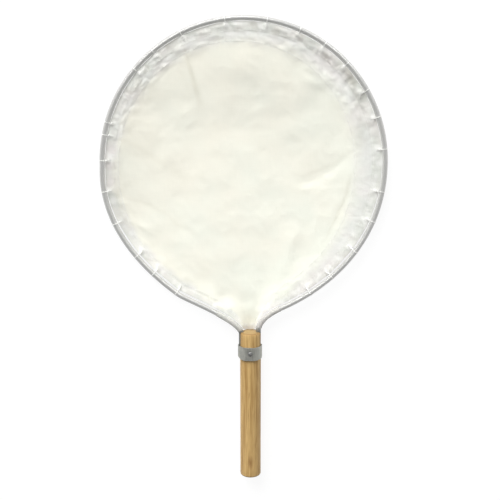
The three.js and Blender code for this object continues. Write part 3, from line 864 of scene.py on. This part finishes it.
# Folds of the bottom: height (below nought for a crease that dips), half-widths on the left and on the right
# of the line's way, and points along it
FOLD_SCALE = 1.6
FOLDS = (
    (1, 4, 10, (-66, 226), (-60, 206), (-54, 184), (-47, 160)),
    (0.8, 20, 24, (-30, 200), (7, 190), (45, 178), (84, 168)),
    (0.5, 4, 4, (60, 200), (89, 181), (107, 168)),
    (0.35, 4, 4, (52, 192), (80, 177), (98, 160)),
    (0.7, 3.5, 9, (100, 168), (116, 150), (126, 128), (129, 104)),
    (-0.5, 20, 5, (50, 79), (62, 77), (76, 80), (94, 92), (111, 105)),
    (-0.35, 13, 4, (114, 80), (110, 68), (104, 51), (97, 40), (85, 12)),
    (0.3, 5, 5, (79, 46), (72, 18)),
    (0.5, 8, 9, (64, 56), (57, 25), (42, -16), (33, -42)),
    (0.5, 5, 8, (84, -6), (54, -32), (39, -45), (19, -64)),
    (-0.15, 12, 8, (-139, 64), (-120, 59), (-97, 53), (-80, 43), (-57, 27), (-45, 7), (-25, -9)),
    (0.5, 4, 4, (-116, 35), (-98, 25)),
    (0.15, 8, 11, (-70, 26), (-65, 18), (-41, -11), (-23, -37), (-12, -58)),
    (0.7, 3, 3, (-118, 0), (-92, -11)),
    (0.7, 3, 3, (-99, -20), (-81, -32)),
    (0.6, 3, 3, (-68, -43), (-38, -53)),
    (0.5, 4, 4, (-17, -52), (-4, -72)),
    (0.6, 5, 5, (10, -30), (8, -70)),
)


def fold_height(points):
    """Sum of the folds at plan points."""
    total = np.zeros(len(points))
    for height, left_width, right_width, *crest in FOLDS:
        line, s, near, offset = traced(crest, 1.2, 1.6, 17, (height, height + 5), points, 70)
        tangents = line.tangent(s)
        apart = (offset**2).sum(2)
        share = np.exp(-(apart - apart.min(1, keepdims=True)) / 60)
        share /= share.sum(1, keepdims=True)
        across = (share * (tangents[:, 0] * offset[..., 1] - tangents[:, 1] * offset[..., 0])).sum(1)
        beyond = np.abs((share * (tangents * offset).sum(2)).sum(1))
        width = np.where(across > 0, left_width, right_width) * (1 + 0.3 * wander(points[near], 14, height))
        ends = np.sin(pi * (0.04 + 0.92 * (share @ s) / line.length)) ** 0.7
        rounding = np.exp(-((np.hypot(across, beyond * 0.6) / width) ** 1.4))
        total[near] += FOLD_SCALE * height * ends * rounding
    return total


def cloth_height(plan, k, u):
    """Height of the cloth at plan points; k and u are the nearest station and the width in from the rim."""
    share = np.clip(u / hem_width[k], 0, 2)
    past = smoothstep(0.4, 1.6, share)
    z = past * surface.at(plan) + (1 - past) * (rim_z[k] + (hem_z[k] - rim_z[k]) * share)
    broad = 0.5 * wander(plan, 60, 21) + 0.5 * wander(plan, 24, 22)
    small = 0.16 * creases(plan, 14, 23) + 0.05 * creases(plan, 6, 24)
    z += (broad + small + fold_height(plan)) * smoothstep(4, 16, u) + ring_relief(k, u)
    # it lies on the floor and never goes through it
    return np.maximum(z, 0.25 + 0.25 * np.exp(-np.maximum(z - 0.2, 0) / 0.4))


def draped(plan, k, u, lift=0):
    return level(plan, cloth_height(plan, k, u) + lift)


def hem_lift(share):
    """Half the thickness of the doubled hem, which thins toward its inner edge."""
    return 0.15 - 0.13 * share**2


def hem():
    """A doubled band: one closed section of points per station, rounded at its two edges."""
    upper = [(0.04, 0.13), *((share, hem_lift(share)) for share in np.linspace(0.12, 0.97, 8))]
    section = [(0, 0), *upper, (1, 0), *((share, -lift) for share, lift in upper[::-1])]
    slack = 1 - np.exp(-((from_tie / 7) ** 2))
    rings = []
    for share, lift in section:
        u = hem_width * share
        pull = 0.25 * slack * (1 - share) * (0.4 + puckered) * (1 - neck_dip)
        rings.append(draped(inset(u + pull), STATIONS, u, lift - 0.4 * slack * (1 - share)))
    verts = np.stack(rings, 1).reshape(-1, 3)
    faces = grid_faces(COUNT, len(section), True, True)
    piece = net_piece("hem_band", verts, faces, WHITE_CLOTH, "white_cloth", ["hem"])
    piece.data.set_sharp_from_angle(angle=radians(70))
    shares = np.array([share for share, _ in section])
    colour(piece, np.repeat(STATIONS, len(section)), np.outer(hem_width, shares).ravel())
    return piece


def sleeve(name, sign, bare):
    """Cloth wrapped round the rod beside the handle, a thin tube with creases across it."""
    line = half[sign]
    s = np.linspace(line.length - 36, line.length - bare, 60)
    centre = level(line.at(s), AXIS_Z)
    sides = 30
    inner, outer = (tube(centre, ROD_RADIUS + grow, sides)[0] for grow in (0.08, 0.26))
    out = outer - np.repeat(centre, sides, 0)
    out /= norm(out, axis=1, keepdims=True)
    fade = np.repeat(smoothstep(0, 6, s - s[0]), sides)
    outer = outer + out * ((0.16 * wander(outer, 3.2, 5.5) + 0.1) * fade)[:, None]
    n = len(inner)
    faces = grid_faces(len(s), sides, wrap_columns=True)
    faces += [tuple(n + i for i in f) for f in faces]
    for start in (0, n - sides):
        for j in range(sides):
            a, b = start + j, start + (j + 1) % sides
            faces.append((a, b, n + b, n + a))
    return net_piece(name, np.concatenate([inner, outer]), faces, VEIL, "white_cloth", ["hem"])


# The bag: its slanting wall and the bottom panel that lies on the surface, cut and sewn as two pieces but
# shaped together

WALL_ROWS = 8
PITCH = 2.1


def inside(points, outline):
    """Which plan points a closed outline goes round."""
    within = np.zeros(len(points), bool)
    x, y = points.T
    for (x0, y0), (x1, y1) in zip(outline, np.roll(outline, -1, 0)):
        crosses = (y0 > y) != (y1 > y)
        within ^= crosses & (x < x0 + (y - y0) * (x1 - x0) / ((y1 - y0) or 1e-9))
    return within


def nearest(points, line):
    """For each plan point, which point of a line is nearest, and how far off it is."""
    apart = [((line - p) ** 2).sum(1) for p in points]
    return np.array([a.argmin() for a in apart]), np.array([a.min() for a in apart]) ** 0.5


def bag():
    widths = [hem_width - 0.3 + row / WALL_ROWS * (wall_width + 0.3) for row in range(WALL_ROWS + 1)]
    rows = [inset(u) for u in widths]
    seam = rows[-1]
    # inner points on a jittered triangular grid, kept clear of the seam
    xs = np.arange(-140, 130, PITCH)
    ys = np.arange(-82, 235, PITCH * 0.866)
    grid = np.array([(x + (PITCH / 2 if j % 2 else 0), y) for j, y in enumerate(ys) for x in xs])
    grid += PITCH * 0.18 * wandered(grid, 1.3, 11.1, 12.2)
    grid = grid[inside(grid, seam)]
    grid = grid[nearest(grid, seam)[1] > 1.1]
    abreast, from_rim = nearest(grid, rim)
    plan = np.concatenate([*rows, grid])
    station = np.concatenate([np.tile(STATIONS, WALL_ROWS + 1), abreast])
    width = np.concatenate([*widths, np.maximum(from_rim, (hem_width + wall_width)[abreast])])
    base = WALL_ROWS * COUNT
    loops = [(start + i, start + (i + 1) % COUNT) for start in (0, base) for i in range(COUNT)]
    verts, _, faces, origins, _, _ = delaunay_2d_cdt([Vector(p) for p in plan], loops, [], 1, 1e-6)
    origin = np.array([o[0] for o in origins])
    assert len(verts) == len(plan), "the bag's plan points run into each other"

    points = draped(plan, station, width)
    is_wall = origin < base
    made = []
    for name, wall, material, slot, node in (
        ("side_wall", True, WHITE_CLOTH, "white_cloth", "bag_wall"),
        ("bottom_panel", False, CREAM_CLOTH, "cream_cloth", "bag_bottom"),
    ):
        chosen = [f for f in faces if any(is_wall[i] for i in f) == wall]
        used = sorted({i for f in chosen for i in f})
        number = {old: new for new, old in enumerate(used)}
        cut = [tuple(number[i] for i in f) for f in chosen]
        piece = net_piece(name, points[origin][used], cut, material, slot, [node])
        colour(piece, station[origin][used], width[origin][used])
        made.append(piece)
    return (*made, points[base:base + COUNT])


hem_band = hem()
sleeves = [sleeve("neck_sleeve_left", -1, 4.2), sleeve("neck_sleeve_right", 1, 4.5)]
side_wall, bottom_panel, seam_line = bag()


# Sewing: the rolled seam round the bottom, and stitches along it and along the hem

STITCH_LENGTH, STITCH_PITCH = 2.3, 3.4


def stitches(name, line, lift):
    """Short thread stitches laid along a closed line, each a small tube that dips in at both ends."""
    ring = Line(line, closed=True)
    parts = []
    for start in np.arange(0, ring.length - STITCH_PITCH, STITCH_PITCH):
        s = start + STITCH_LENGTH * np.array([0, 0.15, 0.5, 0.85, 1])
        path = ring.at(s % ring.length) + np.outer([-0.1, 0.6, 1, 0.6, -0.1], (0, 0, lift))
        parts.append(tube(path, 0.1, 5))
    net_piece(name, *joined(parts), THREAD, "thread")


seam_middle = seam_line + (0, 0, 0.03)
seam_roll = tube(seam_middle, 0.13 + 0.04 * wander(seam_middle, 4, 31), 8, closed=True)
net_piece("bottom_seam", *seam_roll, CREAM_CLOTH, "cream_cloth")
STITCHED = 0.86
stitch_u = hem_width * STITCHED
stitches("hem_stitches", draped(inset(stitch_u), STATIONS, stitch_u, hem_lift(STITCHED)), 0.08)
stitch_u = hem_width + wall_width - 0.8
stitches("bottom_stitches", draped(inset(stitch_u), STATIONS, stitch_u, 0.03), 0.1)


# Lashings: thread taken twice over the rod and through the hem, and tied on the inside

def lashing(number, sign, place):
    centre = half[sign].at(place)
    inward_way = inward(sign, place)
    along_way = np.array([-inward_way[1], inward_way[0]])

    def placed(inwards, aside, up):
        """Points by their distances inward from the rod's middle, along it and up from it."""
        plan = centre + np.outer(inwards, inward_way) + np.outer(aside, along_way)
        return level(plan, AXIS_Z + up)

    rng = random.Random(number)
    radius = 0.2
    clear = ROD_RADIUS + radius + 0.05
    hole = 8.6 + rng.uniform(-0.9, 0.6)
    station, _ = nearest([centre], rim)
    hole_z = cloth_height(placed(hole, 0, 0)[:, :2], station, np.array([hole - CLOTH_FROM_ROD]))[0] - AXIS_Z
    # round the rod, down through the hole and back, as (distance inward, height)
    around = [(clear * cos(a), clear * sin(a)) for a in np.radians(np.arange(62, 275, 14))]
    around += [
        (3.2, -clear + 0.6), (hole - 1, hole_z - 0.7), (hole, hole_z - 0.45), (hole + 0.1, hole_z),
        (hole, hole_z + 0.45), (hole - 1, hole_z + 0.5), (4, clear * 0.5),
    ]
    inwards, up = np.array(around).T
    parts = []
    for shift, lean in ((-0.22, rng.uniform(-0.9, 0.2)), (0.22, rng.uniform(-0.2, 0.9))):
        path = placed(inwards, shift + lean * (inwards / hole), up)
        parts.append(tube(rounded(path, 64), radius, 7, closed=True))
    # the knot, and its two cut ends
    seat, seat_up = 4.3, clear * 0.5
    t = turn_round(30)
    far = 2 + np.cos(3 * t)
    knot = 0.2 * np.column_stack([far * np.cos(2 * t), far * np.sin(2 * t), 0.9 * np.sin(3 * t)])
    parts.append(tube(knot + placed(seat, 0, seat_up), 0.17, 6, closed=True))
    for end in (-1, 1):
        reach = rng.uniform(0.9, 1.5)
        swing = rng.uniform(-0.5, 0.5)
        f = np.array([0.15, 0.4, 0.7, 1])
        tail = placed(seat + swing * reach * f**2 + 0.6 * f, end * reach * f, seat_up + 0.15 - 0.8 * f**2)
        parts.append(tube(tail, 0.16, 6))
    net_piece(f"thread_lashing_{number:02d}", *joined(parts), THREAD, "thread", [f"lashing_{number:02d}"])


places = [(sign, place) for sign in (-1, 1) for place in LASHINGS[sign]]
for number, (sign, place) in enumerate(places, 1):
    lashing(number, sign, place)


# Floor, backdrop, light and camera

FLOOR_Z = -0.02


def seen_rays(s):
    """1 for the rays by which the camera and shiny or clear surfaces see, 0 for those of the light."""
    rays = s.node("LightPath").outputs
    direct = s.math("MAXIMUM", rays["Is Camera Ray"], rays["Is Transmission Ray"])
    return s.math("MAXIMUM", direct, rays["Is Glossy Ray"])


def stage(name, verts, faces, material):
    mesh = new_mesh(name, verts, faces)
    mesh.materials.append(material)
    in_scene(name, mesh)


def floor():
    s = Shader("pale_floor", 0.9, specular=0)
    grain = s.noise(9)
    seen = seen_rays(s)
    s.set("Base Color", s.mix(seen, s.mix(grain, 0.79, 0.82), s.mix(grain, 0.14, 0.15)))
    s.set("Emission Color", 1)
    s.set("Emission Strength", s.math("MULTIPLY", seen, 0.89))
    size = 6000
    corners = [(-size, -size), (size, -size), (size, size), (-size, size)]
    stage("floor", level(corners, FLOOR_Z), [(0, 1, 2, 3)], s.material)


def backdrop():
    """A low white wall round the floor. The light passes through it."""
    s = Shader("white_backdrop")
    clear, white = s.node("BsdfTransparent"), s.node("Emission", 1, 1)
    s.finish(s.mixed(seen_rays(s), clear.outputs[0], white.outputs[0]))
    s.material.cycles.emission_sampling = "NONE"
    sides, radius, top = 96, 5900, 2400
    a = turn_round(sides)
    ring = radius * np.column_stack([np.cos(a), np.sin(a)])
    verts = np.concatenate([level(ring, FLOOR_Z), level(ring, top)])
    stage("backdrop", verts, grid_faces(2, sides, wrap_columns=True), s.material)


def world():
    """Soft light, a little stronger from the far side and from the right."""
    made = bpy.data.worlds.new("studio")
    bpy.context.scene.world = made
    made.use_nodes = True
    n = Nodes(made.node_tree)
    way = n.split(n.coords["Generated"])
    value = n.math("MULTIPLY_ADD", way["Y"], 0.46, 0.5)
    value = n.math("MULTIPLY_ADD", way["X"], 0.18, value)
    background = n.tree.nodes["Background"]
    n.feed(background.inputs["Color"], n.ramp(value, (0.1, 0.19), (0.5, 0.46), (0.9, 0.72)))
    background.inputs["Strength"].default_value = 1


def lamp(name, place, size, power, highlight=False):
    """A round soft lamp. A highlight lamp only shows in shiny surfaces, and the others never do."""
    data = bpy.data.lights.new(name, "AREA")
    data.shape = "DISK"
    data.size = size
    data.energy = power
    made = in_scene(name, data)
    made.location = place
    made.rotation_euler = (Vector((0, 0.05, 0)) - Vector(place)).to_track_quat("-Z", "Y").to_euler()
    made.visible_glossy = highlight
    made.visible_diffuse = not highlight


def camera():
    """One metre from a point in the net, tilted as the photograph's was."""
    sensor, focal_pixels, picture_pixels = 36, 942.4, 500
    data = bpy.data.cameras.new("photo_camera")
    data.sensor_width = sensor
    data.lens = sensor * focal_pixels / picture_pixels
    data.clip_start, data.clip_end = 0.05, 50
    made = in_scene("photo_camera", data)
    tilt = radians(12)
    made.location = Vector((6.6, 6.7, AXIS_Z)) * MM + Vector((0, sin(tilt), cos(tilt)))
    made.rotation_euler = (-tilt, 0, 0)
    bpy.context.scene.camera = made


floor()
backdrop()
world()
lamp("key", (-1.15, 3.2, 1.85), 3.2, 206)
for side, place in (("left", (-1, 1.1, 1.6)), ("far", (-0.15, 1.7, 1.5)), ("right", (1.2, 1.4, 1.4))):
    lamp(side + "_highlight", place, 0.5, 5, highlight=True)
camera()
bpy.context.scene.view_settings.view_transform = "Standard"
